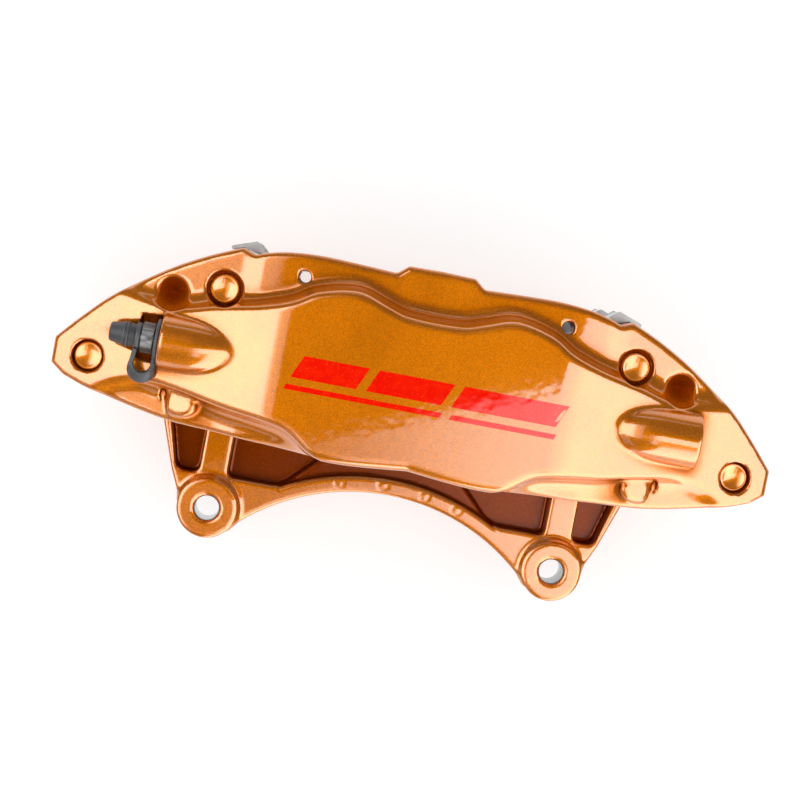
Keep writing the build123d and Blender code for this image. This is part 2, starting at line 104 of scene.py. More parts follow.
outer_low, outer_high = box_mm("outer_half")
ROTOR_MID_Y = outer_high.y
HALF_LENGTH = outer_high.x
FACE_DEPTH = ROTOR_MID_Y - outer_low.y
MOUNT_X = mounts["mounting_holes"]["dims"]["spacing_x_mm"] / 2
MOUNT_HOLE_R = mounts["mounting_holes"]["dims"]["hole_r_mm"]
PIN_HOLE = mount_xz("pad_pin_bore_right")
PIN_HOLE_R = mounts["pad_pin_bore_right"]["dims"]["r_mm"]
INLET = mount_xz("fluid_inlet")
INLET_R = mounts["fluid_inlet"]["dims"]["r_mm"]
BLEED = {side: bleed_place(joints[f"bleed_screw_{side}_turn"]["pos_m"]) for side in SIDES}
BOSS_DEPTH, BOSS_Z = BLEED["outer"][1], BLEED["outer"][2]
BOLT_HEAD_R = 9.0
END_BOLT = (box_mm("end_bridge_bolts")[1].x - BOLT_HEAD_R, centre_mm("end_bridge_bolts").z)
UPPER_BOLT = (box_mm("upper_bridge_bolts")[1].x - BOLT_HEAD_R, centre_mm("upper_bridge_bolts").z)
PISTON = {end: centre_mm(f"piston_outer_{end}") for end in ENDS}
PISTON_R = {
    end: (box_mm(f"piston_outer_{end}")[1].x - box_mm(f"piston_outer_{end}")[0].x) / 2 for end in ENDS
}
PISTON_MOUTH = ROTOR_MID_Y - box_mm("piston_outer_left")[1].y
PISTON_BACK = ROTOR_MID_Y - box_mm("piston_outer_left")[0].y
PLATE_THICK = 1.5
PAD_WINDOW_HALF = box_mm("abutment_plate_outer_right")[0].x + PLATE_THICK
CHEEK_DEPTH = round(PISTON_MOUTH - 0.4, 1)

# casting proportions, in mm: depths are from the rotor's mid-plane, and places are (x, z)
VOXEL = 0.85
ROTOR_Z = -58.0
SLOT_R = 165.0
SLOT_HALF_WIDTH = 17.0
BOLT_HOLE_R = 6.1
# outer half: a flat face and band, which both fall away past a crease
CREASE_X = 60.5
CREASE_SOFTNESS = 7.0
FACE_FALL = math.tan(math.radians(16.5))
BAND_DEPTH = 49.0
BAND_FALL = math.tan(math.radians(4.5))
BAND_STEP = 1.0
WALL_DRAFT = 12.0
CONE_HOLE = (104.0, 92.1)
CONE_HOLE_R = 7.2
CONE_MOUTH_DEPTH = 46.5
BUMP = (93.7, 49.0)
BUMP_HALF_SIZE = (7.6, 5.4)
# bosses for the bleed screw (left) and a blank one (right): where the round bar ends and its nose's length
BOSS_R = 10.8
BLANK_BOSS_END = 113.0
BOSS_NOSE = {"left": (94.0, 25.0), "right": (97.0, 24.0)}
SPOT_FACE_R = 9.6
SPOT_FACE_LENGTH = 9.0
CAP_ROOM_R = 6.3
# inner half's back
INNER_BACK_DEPTH = 46.0
HOUSING_WALL = 8.0
WAIST_HALF_HEIGHT = 15.0
WAIST_DROP = 2.0
RIDGE_R = 6.5
RIDGE_SPAN = (48.0, 80.0)
BOLT_PAD = 1.5
LAND_FOOT_Z = 116.4
PORT_FACE_R = 8.0
PORT_FACE_DEPTH = 60.5
PORT_FLOOR_DEPTH = 50.0
# inner half's lugs and web
LUG_BOSS_R = 13.38
LUG_FRONT_DEPTH = 27.0
LUG_BACK_DEPTH = 45.0
COUNTERSINK = 1.1
WEB_DEPTH = 29.0
WEB_TOP_Z = 50.0
POCKET_FLOOR_DEPTH = 40.0
LUG_RIB = (71.3, 84.0)
MIDDLE_HALF = 48.0
ARCH_R = 94.4
ARCH_TOP_Z = 19.7
ARCH_CENTRE_Z = ARCH_TOP_Z - ARCH_R
ARCH_RIM = 7.2
ARCH_MARKS_X = (-22, -3, 16, 31)
ARCH_MARK_R = 2.0
# red stripes on the face: their bottom, top, and pairs of ends
PRINT_THICK = 0.1
STRIPES = ((68.5, 77.5, (-52, -26, -22, 8, 12, 54)), (63.5, 65.6, (-54, 8, 12, 54)))
STRIPE_SLANT = 0.45


# ------------------------------------------------------------------ distance fields, in mm
def join(a, b, r):
    """Union of two fields with a fillet of radius r."""
    u = np.maximum(r - a, 0)
    v = np.maximum(r - b, 0)
    return np.maximum(r, np.minimum(a, b)) - np.sqrt(u * u + v * v)


def meet(a, b, r):
    """Intersection of two fields with an edge rounded to radius r."""
    return -join(-a, -b, r)


def cut(a, b, r=0.4):
    """Field a with b taken away, and the edge rounded to radius r."""
    return meet(a, -b, r)


def most(*fields):
    """The overlap of any number of fields, with sharp edges."""
    return reduce(np.maximum, fields)


def ring(x, z, centre, radius):
    """A round bar across the rotor's plane, as a 2D field."""
    return np.hypot(x - centre[0], z - centre[1]) - radius


def span(value, low, high):
    """Below zero between two limits."""
    return np.abs(value - (low + high) / 2) - (high - low) / 2


def curve(points, steps=10):
    """Points along a smooth curve through the given ones."""
    p = np.array([points[0], *points, points[-1]], float)
    out = []
    for a, b, c, d in zip(p, p[1:], p[2:], p[3:]):
        for k in range(steps):
            s = k / steps
            bend = (2 * a - 5 * b + 4 * c - d) * s**2 + (3 * b - a - 3 * c + d) * s**3
            out.append(tuple(0.5 * (2 * b + (c - a) * s + bend)))
    return out + [tuple(p[-2])]


class Outline:
    """A closed outline, mirrored about X = 0, as a signed distance looked up on a fine grid."""

    STEP = 0.5
    X_RANGE = (-156.0, 156.0)
    Z_RANGE = (-24.0, 130.0)

    def __init__(self, half):
        points = list(half) + [(-x, z) for x, z in reversed(half)]
        xs = np.arange(self.X_RANGE[0], self.X_RANGE[1] + self.STEP, self.STEP)
        zs = np.arange(self.Z_RANGE[0], self.Z_RANGE[1] + self.STEP, self.STEP)
        half_xs = xs[xs >= 0]
        x, z = np.meshgrid(half_xs, zs, indexing="ij")
        best = np.full(x.shape, 1e9)
        inside = np.zeros(x.shape, bool)
        for (ax, az), (bx, bz) in zip(points, points[1:] + points[:1]):
            dx, dz = bx - ax, bz - az
            length = dx * dx + dz * dz
            if length < 1e-9:
                continue
            s = np.clip(((x - ax) * dx + (z - az) * dz) / length, 0, 1)
            best = np.minimum(best, (x - ax - s * dx) ** 2 + (z - az - s * dz) ** 2)
            if dz:
                crosses = (az > z) != (bz > z)
                inside ^= crosses & (x < ax + (z - az) / dz * dx)
        field = np.sqrt(best) * np.where(inside, -1, 1)
        self.grid = np.concatenate([field[:0:-1], field])
        self.x0 = -half_xs[-1]

    def __call__(self, x, z):
        fx = np.clip((x - self.x0) / self.STEP, 0, self.grid.shape[0] - 1.001)
        fz = np.clip((z - self.Z_RANGE[0]) / self.STEP, 0, self.grid.shape[1] - 1.001)
        i, k = fx.astype(int), fz.astype(int)
        u, v = fx - i, fz - k
        g = self.grid
        low = g[i, k] * (1 - v) + g[i, k + 1] * v
        high = g[i + 1, k] * (1 - v) + g[i + 1, k + 1] * v
        return low * (1 - u) + high * u


def gradient(field, points, here, h):
    """The field's slope at points, from its value there and a short way along each axis."""
    x, t, z = points.T
    ahead = (field(x + h, t, z), field(x, t + h, z), field(x, t, z + h))
    return np.stack([value - here for value in ahead], 1) / h


def mesh_from_field(field, low, high, voxel):
    """A closed mesh where the field is zero. The field and the box are in x, depth and z."""
    counts = [int((h - l) / voxel) + 1 for l, h in zip(low, high)]
    axes = [l + voxel * np.arange(n) for l, n in zip(low, counts)]
    x, t, z = (axes[0][:, None, None], axes[1][None, :, None], axes[2][None, None, :])
    values = np.ascontiguousarray(np.broadcast_to(field(x, t, z), counts), dtype=np.float32)
    grid = openvdb.FloatGrid(10.0)
    grid.copyFromArray(np.clip(values, -3, 3))
    points, triangles, quads = grid.convertToPolygons(isovalue=0.0, adaptivity=0.0)
    points = np.array(low) + points * voxel
    for _ in range(2):
        here = field(*points.T)
        slope = gradient(field, points, here, 0.12)
        size = np.maximum((slope**2).sum(1), 0.2)
        step = np.clip(here / size, -0.35 * voxel, 0.35 * voxel)
        points = points - slope * step[:, None]
    return points, triangles, quads


# ------------------------------------------------------------------ casting outlines, in X and Z
def silhouette_outline():
    land = [(0, 120.2), (13.5, 119.9), (17.5, 116.6)]
    flange = curve([(18.5, 116.3), (32, 116.9), (48, 117.3), (61, 116.3), (70, 114.3), (74.5, 112.7)])
    shoulder = curve([(79.5, 114.6), (92.4, 109), (107.5, 100.6), (126, 87.3), (137.3, 76.4), (147, 65.7)])
    tip = [(147, 55.5)]
    under = curve([(141.5, 51.4), (128, 47.2), (100, 41.5), (78, 40), (42, 38.2), (24, 38), (0, 40.2)])
    return Outline(land + flange + shoulder + tip + under)


def face_outline():
    valley_and_crown = [(0, 99.2), (11.8, 99.8), (20.2, 102.3), (32, 105.6), (46.6, 102.6), (56.1, 97.3)]
    to_tip = [(68, 93.4), (85.7, 89.6), (101.6, 86), (123, 87.8)]
    around = [(126, 100), (155, 100), (155, 40), (137, 40)]
    outer_scallop = [(131, 46.5), (125.6, 51), (119.3, 53.9), (109, 56), (94.5, 54.4)]
    inner_scallop = [(76.4, 51.4), (58.4, 49.4), (47.9, 46.2), (35, 36)]
    scallop = curve(outer_scallop + inner_scallop)
    return Outline(curve(valley_and_crown + to_tip) + around + scallop + [(30, 25), (0, 25)])


def web_outline():
    arch_foot_x = 66.5
    angles = np.linspace(0, math.asin(arch_foot_x / ARCH_R), 16)
    arch = [(ARCH_R * math.sin(a), ARCH_CENTRE_Z + ARCH_R * math.cos(a)) for a in angles]
    return Outline(arch + [(MOUNT_X, 0), (90.5, 2), (96, 14), (103, 34), (108, WEB_TOP_Z), (0, WEB_TOP_Z)])


SILHOUETTE = silhouette_outline()
FACE = face_outline()
WEB = web_outline()


# ------------------------------------------------------------------ casting fields
def fall(ax, depth, slope):
    """Depth of a front surface that is flat in the middle and falls away past the crease, softly."""
    soft = CREASE_SOFTNESS
    past = ax - CREASE_X
    run = np.where(past < -soft, 0, np.where(past > soft, past, (past + soft) ** 2 / (4 * soft)))
    return depth - run * slope


def drafted(outline_distance, depth_below, angle):
    """An outline's wall leaning outwards by an angle in degrees as it goes below its top surface."""
    angle = math.radians(angle)
    return (outline_distance - depth_below * math.tan(angle)) * math.cos(angle)


def smooth(s):
    """Goes from 0 to 1 as s does, with no corner at either end."""
    s = np.clip(s, 0, 1)
    return s * s * (3 - 2 * s)


def boss_field(x, t, z, side):
    """The two round bosses, one for the bleed screw and one blank, each with an oval nose."""
    ax = np.abs(x)
    end = np.where(x < 0, BLEED[side][0], BLANK_BOSS_END)
    across = np.hypot(t - BOSS_DEPTH, z - BOSS_Z)
    back = np.where(x < 0, BOSS_NOSE["left"][0], BOSS_NOSE["right"][0])
    length = np.where(x < 0, BOSS_NOSE["left"][1], BOSS_NOSE["right"][1])
    bar = (np.hypot(across / BOSS_R, np.maximum(back - ax, 0) / length) - 1) * BOSS_R
    return meet(meet(bar, ax - end, 0.7), BOSS_DEPTH - 20 - t, 0.5)


def cut_window(body, x, t, z):
    """The pad window and the rotor slot."""
    window = np.maximum(np.abs(x) - PAD_WINDOW_HALF, t - CHEEK_DEPTH)
    slot = np.maximum(np.hypot(x, z - ROTOR_Z) - SLOT_R, t - SLOT_HALF_WIDTH)
    return cut(cut(body, window, 0.8), slot, 0.8)


def bore_field(x, t, z):
    """The two piston bores with their boot seats, on either side."""
    bores = []
    for end in ENDS:
        across = ring(x, z, (PISTON[end].x, PISTON[end].z), 0)
        bore = np.maximum(across - PISTON_R[end] - 0.05, t - PISTON_BACK - 0.6)
        seat = np.maximum(across - PISTON_R[end] - 3.5, t - CHEEK_DEPTH - 3.0)
        bores.append(np.minimum(bore, seat))
    return np.maximum(np.minimum(*bores), 15 - t)


def thread_field(x, t, z, side):
    """The drilling that takes the bleed screw, with its spot face and the room for its cap."""
    face = x + BLEED[side][0]
    across = np.hypot(t - BOSS_DEPTH, z - BOSS_Z)
    spot = most(across - SPOT_FACE_R, face, -SPOT_FACE_LENGTH - face)
    channel = np.maximum(across - CAP_ROOM_R, face)
    thread = np.maximum(across - 5.0, np.abs(face - 8) - 9)
    return spot, channel, thread


def shared_cuts(body, x, t, z, side):
    """The bores, pad pin holes and bleed screw drilling, with small machined edges."""
    body = cut(body, bore_field(x, t, z), 0.3)
    spot, channel, thread = thread_field(x, t, z, side)
    body = cut(cut(cut(body, spot, 0.5), channel, 1.5), thread, 0.4)
    pin = np.maximum(ring(np.abs(x), z, PIN_HOLE, PIN_HOLE_R), CHEEK_DEPTH - 2 - t)
    return cut(body, pin, 0.4)


def outer_field(x, t, z):
    """The outboard half: flange, raised face falling away to the tips, bosses and bumps."""
    ax = np.abs(x)
    edge = SILHOUETTE(x, z)
    face_top = fall(ax, FACE_DEPTH - PRINT_THICK, FACE_FALL)
    band_top = fall(ax, BAND_DEPTH, BAND_FALL) - BAND_STEP * smooth((ax - 69) / 11)
    flange = t - np.minimum(band_top, face_top + 6)
    wall = drafted(FACE(x, z), face_top - t, WALL_DRAFT)
    cove = 3.4 + 2.8 * np.maximum(smooth((ax - 70) / 16), smooth((66 - z) / 8))
    body = join(flange, meet(wall, t - face_top, 2.2), cove)
    body = meet(body, edge, 2.3 + 1.5 * smooth((70 - ax) / 15) * smooth((60 - z) / 10))
    body = join(body, boss_field(x, t, z, "outer"), 1.4)
    bump = np.hypot((ax - BUMP[0]) / BUMP_HALF_SIZE[0], (z - BUMP[1]) / BUMP_HALF_SIZE[1]) - 1
    bump = meet(bump * 4.5, meet(t - face_top + 4.0, ax - BUMP[0] - 4.5, 1.0), 2.4)
    body = join(body, meet(bump, edge + 0.8, 1.0), 1.8)
    notch = np.hypot((ax - BUMP[0] - 6.6) / 1.3, (z - BUMP[1] - 2.2) / 2.6) - 1
    body = cut(body, most(notch, face_top - 7.5 - t), 0.5)
    body = meet(body, -t, 0.5)
    body = shared_cuts(cut_window(body, x, t, z), x, t, z, "outer")
    around = ring(ax, z, CONE_HOLE, CONE_HOLE_R)
    cone = np.maximum((around - (t - CONE_MOUTH_DEPTH) * 0.5) * 0.88, around - 0.3)
    body = cut(body, cone, 1.1)
    for spot, radius, deep, surface in ((END_BOLT, 6.5, 2.2, face_top), (UPPER_BOLT, 7.3, 2.8, band_top)):
        recess = np.maximum(ring(ax, z, spot, radius), surface - deep - t)
        body = cut(body, recess, 0.6)
        body = cut(body, ring(ax, z, spot, BOLT_HOLE_R), 0.3)
    return body


def pocket_field(ax, z):
    """The pockets on either side of each lug's rib."""
    inner = meet(meet(ax - LUG_RIB[0], 14.8 - z, 3.0), (62.5 - ax - z) * 0.72, 3.0)
    outer = meet(meet(LUG_RIB[1] - ax, 14.4 - z, 3.5), (ax - 94.0 - (z - 14.4) * 0.26) * 0.97, 3.5)
    return np.minimum(inner, outer)


def middle_field(x, z):
    """The web's recess above the arch's rim."""
    ax = np.abs(x)
    rim = np.hypot(x, z - ARCH_CENTRE_Z) - ARCH_R - ARCH_RIM
    return most(-rim, ax - MIDDLE_HALF, ax - 79 + z)


def web_field(x, t, z):
    """The lugs and the web between them, with its pockets, arch and small cast marks."""
    ax = np.abs(x)
    web = drafted(WEB(x, z), t - WEB_DEPTH, -1.0)
    web = meet(meet(web, WEB_DEPTH - t, 1.6), t - LUG_BACK_DEPTH, 1.8)
    web = cut(web, np.maximum(pocket_field(ax, z), t - POCKET_FLOOR_DEPTH), 1.3)
    web = cut(web, np.maximum(middle_field(x, z), t - CHEEK_DEPTH - 1), 1.5)
    web = cut(web, most(ax - PAD_WINDOW_HALF, 45 - z, t - CHEEK_DEPTH), 0.8)
    for mark_x in ARCH_MARKS_X:
        mark_z = math.sqrt((ARCH_R + 4.2) ** 2 - mark_x**2) + ARCH_CENTRE_Z
        mark = np.abs(ring(x, z, (mark_x, mark_z), ARCH_MARK_R)) - 0.25
        web = cut(web, np.maximum(mark, t - WEB_DEPTH - 0.12), 0.25)
    middle, half = (LUG_BACK_DEPTH + LUG_FRONT_DEPTH) / 2, (LUG_BACK_DEPTH - LUG_FRONT_DEPTH) / 2
    lug = meet(ring(ax, z, (MOUNT_X, 0), LUG_BOSS_R), np.abs(t - middle) - half, 1.6)
    return join(web, lug, 2.8)


def inner_field(x, t, z):
    """The inboard half: shell, web and lugs, piston housings, bosses, bolt pads and fluid inlet."""
    ax = np.abs(x)
    shell = meet(SILHOUETTE(x, z), t - INNER_BACK_DEPTH, 2.5)
    land = np.maximum(LAND_FOOT_Z - z, ax - 25)
    body = join(cut(cut_window(shell, x, t, z), land, 1.0), web_field(x, t, z), 2.5)
    for end in ENDS:
        across = ring(x, z, (PISTON[end].x, PISTON[end].z), PISTON_R[end] + HOUSING_WALL)
        housing = meet(drafted(across, FACE_DEPTH - t, 3.0), np.maximum(t - FACE_DEPTH, 34 - t), 3.0)
        body = join(body, housing, 4.0)
    beside, above = ax - PISTON["right"].x, np.abs(z - PISTON["left"].z) - WAIST_HALF_HEIGHT
    body = join(body, most(beside, above, t - FACE_DEPTH + WAIST_DROP, 34 - t), 5.0)
    ridge = np.maximum(np.hypot(t - BOSS_DEPTH, z - BOSS_Z) - RIDGE_R, span(ax, *RIDGE_SPAN))
    body = join(body, ridge, 3.0)
    body = join(body, boss_field(x, t, z, "inner"), 2.5)
    for spot in (END_BOLT, UPPER_BOLT):
        pad = ring(ax, z, spot, BOLT_HEAD_R + BOLT_PAD)
        body = join(body, np.maximum(pad, span(t, 34, INNER_BACK_DEPTH)), 1.0)
    body = meet(meet(body, -t, 0.5), np.where(z > WEB_TOP_Z, SILHOUETTE(x, z), -LUG_BOSS_R), 1.0)
    body = meet(body, t - FACE_DEPTH, 1.0)
    body = shared_cuts(body, x, t, z, "inner")
    hole = ring(ax, z, (MOUNT_X, 0), MOUNT_HOLE_R)
    body = cut(body, np.maximum(hole, t - 60), 0.2)
    for face_depth in (LUG_FRONT_DEPTH, LUG_BACK_DEPTH):
        countersink = (hole - COUNTERSINK + np.abs(t - face_depth)) * 0.7
        body = cut(body, countersink, 0.2)
    for spot in (END_BOLT, UPPER_BOLT):
        body = cut(body, ring(ax, z, spot, BOLT_HOLE_R), 0.4)
    body = cut(body, np.maximum(ring(x, z, INLET, INLET_R), PORT_FLOOR_DEPTH - t), 0.6)
    return cut(body, np.maximum(ring(x, z, INLET, PORT_FACE_R), PORT_FACE_DEPTH - t), 0.3)


def bare_outer(x, t, z):
    """Negative on the outer half's machined surfaces."""
    ax = np.abs(x)
    spot, channel, thread = thread_field(x, t, z, "outer")
    face = most(bore_field(x, t, z) - 0.3, t - PISTON_BACK - 2)
    window = most(ax - PAD_WINDOW_HALF - 0.3, t - CHEEK_DEPTH - 0.4)
    return np.minimum.reduce(np.broadcast_arrays(face, window, thread - 0.4, t - 0.4))


def bare_inner(x, t, z):
    """Negative on the inner half's machined surfaces."""
    ax = np.abs(x)
    spot, channel, thread = thread_field(x, t, z, "inner")
    face = most(bore_field(x, t, z) - 0.3, t - PISTON_BACK - 2)
    window = most(ax - PAD_WINDOW_HALF - 0.3, t - CHEEK_DEPTH - 0.4, 45 - z)
    hole = ring(ax, z, (MOUNT_X, 0), MOUNT_HOLE_R + 0.25)
    back = np.maximum(LUG_BACK_DEPTH - 0.3 - t, ring(ax, z, (MOUNT_X, 0), LUG_BOSS_R + 3))
    port = np.maximum(ring(x, z, INLET, INLET_R + 0.4), PORT_FLOOR_DEPTH - t)
    return np.minimum.reduce(np.broadcast_arrays(face, window, thread - 0.4, t - 0.4, hole, back, port))


def openness(field, points):
    """How open each point of a surface is, from 0 in a deep recess to 1 on an open face; it sets how much painted
    shade the paint gets.
    """
    normal = gradient(field, points, field(*points.T), 0.3)
    normal /= np.maximum(np.linalg.norm(normal, axis=1), 1e-6)[:, None]
    total = 0
    for reach, weight in ((3.0, 0.25), (7.0, 0.35), (13.0, 0.4)):
        total = total + weight * np.clip(field(*(points + normal * reach).T) / reach, 0, 1)
    return total


def painted_light_in_cones(x, t, z):
    """Below zero inside the outer half's coned pockets: painted light, which lifts the painted shade on their
    walls.
    """
    return -0.6 * np.clip(1.0 - ring(np.abs(x), z, CONE_HOLE, CONE_HOLE_R - 0.5), 0, 1)


def painted_shade_in_pockets(x, t, z):
    """1 inside the web's pockets and its recess above the arch, where they face the rotor: the mask of their
    painted shade.
    """
    inside = np.minimum(pocket_field(np.abs(x), z), middle_field(x, z))
    deep = np.clip((t - WEB_DEPTH - 1.0) / 2.5, 0, 1) * np.clip((LUG_BACK_DEPTH - 3 - t) / 2, 0, 1)
    return np.clip(1.2 - inside, 0, 1) * deep * np.clip(WEB_TOP_Z + 2 - z, 0, 1)


def make_casting(side, field, bare, recess, low_z):
    """One half of the caliper, standing in for its CAD node."""
    low = (-HALF_LENGTH - 3, -2.2, low_z)
    high = (HALF_LENGTH + 3, FACE_DEPTH + 3, 123.0)
    points, triangles, quads = mesh_from_field(field, low, high, VOXEL)
    place = np.stack([points[:, 0], ROTOR_MID_Y + SIDES[side] * points[:, 1], points[:, 2]], 1)
    faces = [tuple(f) for f in triangles.tolist()] + [tuple(f) for f in quads.tolist()]
    if SIDES[side] < 0:
        faces = [f[::-1] for f in faces]
    piece = new_piece(f"{side}_casting", place, faces, "gold_paint", "gold_paint", BODY)
    # painted shade and light: recess() darkens the web's pockets and lightens the outer half's coned pockets, on
    # top of openness(); the result, stored as the open attribute, darkens the paint
    shade = recess(*points.T)
    free = openness(field, points)
    free = np.where(shade < 0, np.maximum(free, -shade), free * (1 - 0.8 * shade))
    for name, values in (("bare", bare(*points.T)), ("open", free)):
        attribute = piece.data.attributes.new(name, "FLOAT", "POINT")
        attribute.data.foreach_set("value", values.astype(np.float32))
    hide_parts(f"{side}_half")


# ------------------------------------------------------------------ mesh pieces
def new_piece(name, points, faces, material, slot, body, sharp=None):
    """A mesh piece from points in mm, with its material and the body that it rides on. The slot argument is not
    used.
    """
    mesh = bpy.data.meshes.new(name)
    mesh.from_pydata((np.asarray(points, float) * MM).tolist(), [], faces)
    mesh.update()
    piece = bpy.data.objects.new(name, mesh)
    bpy.context.scene.collection.objects.link(piece)
    work = bmesh.new()
    work.from_mesh(mesh)
    if work.calc_volume(signed=True) < 0:
        bmesh.ops.reverse_faces(work, faces=work.faces)
    work.to_mesh(mesh)
    work.free()
    mesh.shade_smooth()
    if sharp:
        mesh.set_sharp_from_angle(angle=math.radians(sharp))
    mesh.materials.append(MATERIALS[material])
    if body:
        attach(piece, body)
    return piece


def turned(rows, origin, axis, closed=False, segments=96):
    """Points and faces of a turned shape. A row is (distance along the axis, radius) or, on a hexagon,
    (distance, corner radius, half the width across flats). A closed shape joins its last row to its first."""
    axis = Vector(axis).normalized()
    side = axis.cross(Vector((0, 0, 1))).normalized()
    up = side.cross(axis).normalized()
    points, faces, starts = [], [], []
    for row in rows:
        along, radius = row[:2]
        starts.append((len(points), 1 if radius == 0 else segments))
        if radius == 0:
            points.append(Vector(origin) + axis * along)
            continue
        for k in range(segments):
            angle = 2 * math.pi * k / segments
            r = radius
            if len(row) > 2:
                r = min(radius, row[2] / math.cos((angle + math.pi / 6) % (math.pi / 3) - math.pi / 6))
            points.append(Vector(origin) + axis * along + (side * math.cos(angle) + up * math.sin(angle)) * r)
    pairs = list(zip(starts, starts[1:])) + ([(starts[-1], starts[0])] if closed else [])
    for (a, na), (b, nb) in pairs:
        for k in range(segments):
            n = (k + 1) % segments
            if na == 1:
                faces.append((a, b + n, b + k))
            elif nb == 1:
                faces.append((a + k, a + n, b))
            else:
                faces.append((a + k, a + n, b + n, b + k))
    return points, faces


def merged(parts):
    """Several sets of points and faces as one."""
    points, faces = [], []
    for part_points, part_faces in parts:
        shift = len(points)
        points += list(part_points)
        faces += [tuple(i + shift for i in face) for face in part_faces]
    return points, faces


def make_bridge_bolts(node, spot):
    """A pair of bridge bolts: coned tips in the outer half, socket heads on the inner half."""
    low, high = box_mm(node)
    tip, head = low.y, high.y
    seat = ROTOR_MID_Y + INNER_BACK_DEPTH
    rows = [
        (tip + 1.25, 0), (tip + 0.12, 4.4), (tip, 4.6), (tip, 5.2), (tip + 0.3, 5.55), (tip + 1.3, 5.65),
        (tip + 1.6, 5.3), (tip + 2.4, 5.3), (tip + 2.8, 5.9), (seat, 5.9), (seat, 8.8), (seat + 0.2, 9.0),
        (seat + 1.9, 9.0), (seat + 2.4, 8.5), (seat + 2.6, 7.7), (seat + 3.1, 7.5), (head - 0.9, 7.5),
        (head - 0.25, 7.2), (head, 6.6), (head, 6.1), (head - 0.4, 5.75, 5.0), (head - 6.0, 5.75, 5.0),
        (head - 7.0, 3.2), (head - 7.6, 0),
    ]
    pair = [turned(rows, (sign * spot[0], 0, spot[1]), (0, 1, 0)) for sign in ENDS.values()]
    piece = new_piece(node + "_turned", *merged(pair), "painted_steel", "painted_bolt", BODY, 40)
    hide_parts(node)


def make_bleed_screw(side):
    """Neck, chamfered hexagon and barbed nipple, with the thread inside the boss."""
    end, depth, z = BLEED[side]
    thread = [(-16.7, 0), (-16.7, 2.2), (-13.5, 4.9), (-0.6, 4.9), (0, 4.0), (2.2, 4.0)]
    hexagon = [(2.2, 5.4, 5.5), (2.6, 6.15, 5.5), (7.1, 6.15, 5.5), (7.6, 5.2, 5.5)]
    nipple = [(7.6, 2.7), (14.6, 2.7), (14.7, 3.1), (15.2, 3.1), (17.0, 2.1), (17.1, 1.0)]
    bore = [(10.0, 1.0), (10.0, 0)]
    origin = (-end, ROTOR_MID_Y + SIDES[side] * depth, z)
    shape = turned(thread + hexagon + nipple + bore, origin, (-1, 0, 0), segments=72)
    node = f"bleed_screw_{side}"
    piece = new_piece(node + "_turned", *shape, "black_steel", "black_steel", node, 35)
    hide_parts(node)


def make_bleed_cap(side):
    """A moulded rubber cap: hollow, with a base flange, two grip rings and a tapered tip."""
    end, depth, z = BLEED[side]
    base = 7.8
    bore = [(9.8, 0), (9.5, 3.27), (0, 3.27)]
    flange = [(0, 5.2), (0.25, 5.45), (1.6, 5.45), (1.9, 5.15), (2.3, 4.65), (4.4, 4.65)]
    grips = [(4.7, 5.1), (5.2, 5.15), (5.5, 4.75), (5.9, 4.7), (6.2, 5.0), (6.7, 4.95), (7.1, 4.55)]
    tip = [(11.5, 3.85), (12.1, 3.4), (12.3, 2.6), (12.3, 1.2), (12.1, 0)]
    rows = [(base + along, radius) for along, radius in bore + flange + grips + tip]
    origin = (-end, ROTOR_MID_Y + SIDES[side] * depth, z)
    shape = turned(rows, origin, (-1, 0, 0), segments=64)
    node = f"bleed_cap_{side}"
    piece = new_piece(node + "_moulded", *shape, "cap_rubber", "cap_rubber", node, 50)
    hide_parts(node)


def make_tether(side):
    """The cap's keeper: a ring behind the hexagon, and a strap that hangs in a loop up to the cap."""
    end, depth, z = BLEED[side]
    outward = SIDES[side]
    y = ROTOR_MID_Y + outward * depth
    ring_rows = [(0.3, 4.15), (0.3, 8.0), (0.6, 8.3), (1.5, 8.3), (1.8, 8.0), (1.8, 4.15)]
    keeper = turned(ring_rows, (-end, y, z), (-1, 0, 0), closed=True, segments=72)
    loop_x, loop_z = -end - 5.3, z - 11.2
    path = [(-end - 1.0, z - 6.2, 0.0), (-end - 0.9, z - 9.0, 0.1)]
    for k in range(13):
        angle = math.radians(10 - 200 * k / 12)
        lean = 1.15 * math.sin(math.pi * k / 12)
        path.append((loop_x + 4.4 * math.cos(angle), loop_z + 4.6 * math.sin(angle), lean))
    path += [(-end - 9.4, z - 8.2, 0.1), (-end - 8.9, z - 5.0, 0.0)]
    points, faces = [], []
    width, thick = 4.4, 1.8
    section = ((-1, -0.7), (-0.85, -1), (0.85, -1), (1, -0.7), (1, 0.7), (0.85, 1), (-0.85, 1), (-1, 0.7))
    for i, (px, pz, lean) in enumerate(path):
        before, after = path[max(i - 1, 0)], path[min(i + 1, len(path) - 1)]
        along = Vector((after[0] - before[0], 0, after[1] - before[1])).normalized()
        out = Vector((0, outward, 0))
        normal = along.cross(out)
        broad = (out * math.cos(lean) + normal * math.sin(lean)).normalized()
        face = along.cross(broad).normalized()
        centre = Vector((px, y + outward * 1.4, pz))
        points += [centre + broad * (a * width / 2) + face * (b * thick / 2) for a, b in section]
    around = len(section)
    for i in range(len(path) - 1):
        for k in range(around):
            n = (k + 1) % around
            faces.append((i * around + k, i * around + n, (i + 1) * around + n, (i + 1) * around + k))
    faces.append(tuple(range(around)))
    faces.append(tuple(reversed(range(len(points) - around, len(points)))))
    shape = merged([keeper, (points, faces)])
    piece = new_piece(f"cap_tether_{side}_strap", *shape, "cap_rubber", "cap_rubber", None, 60)
    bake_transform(piece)
    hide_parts(f"cap_tether_{side}")


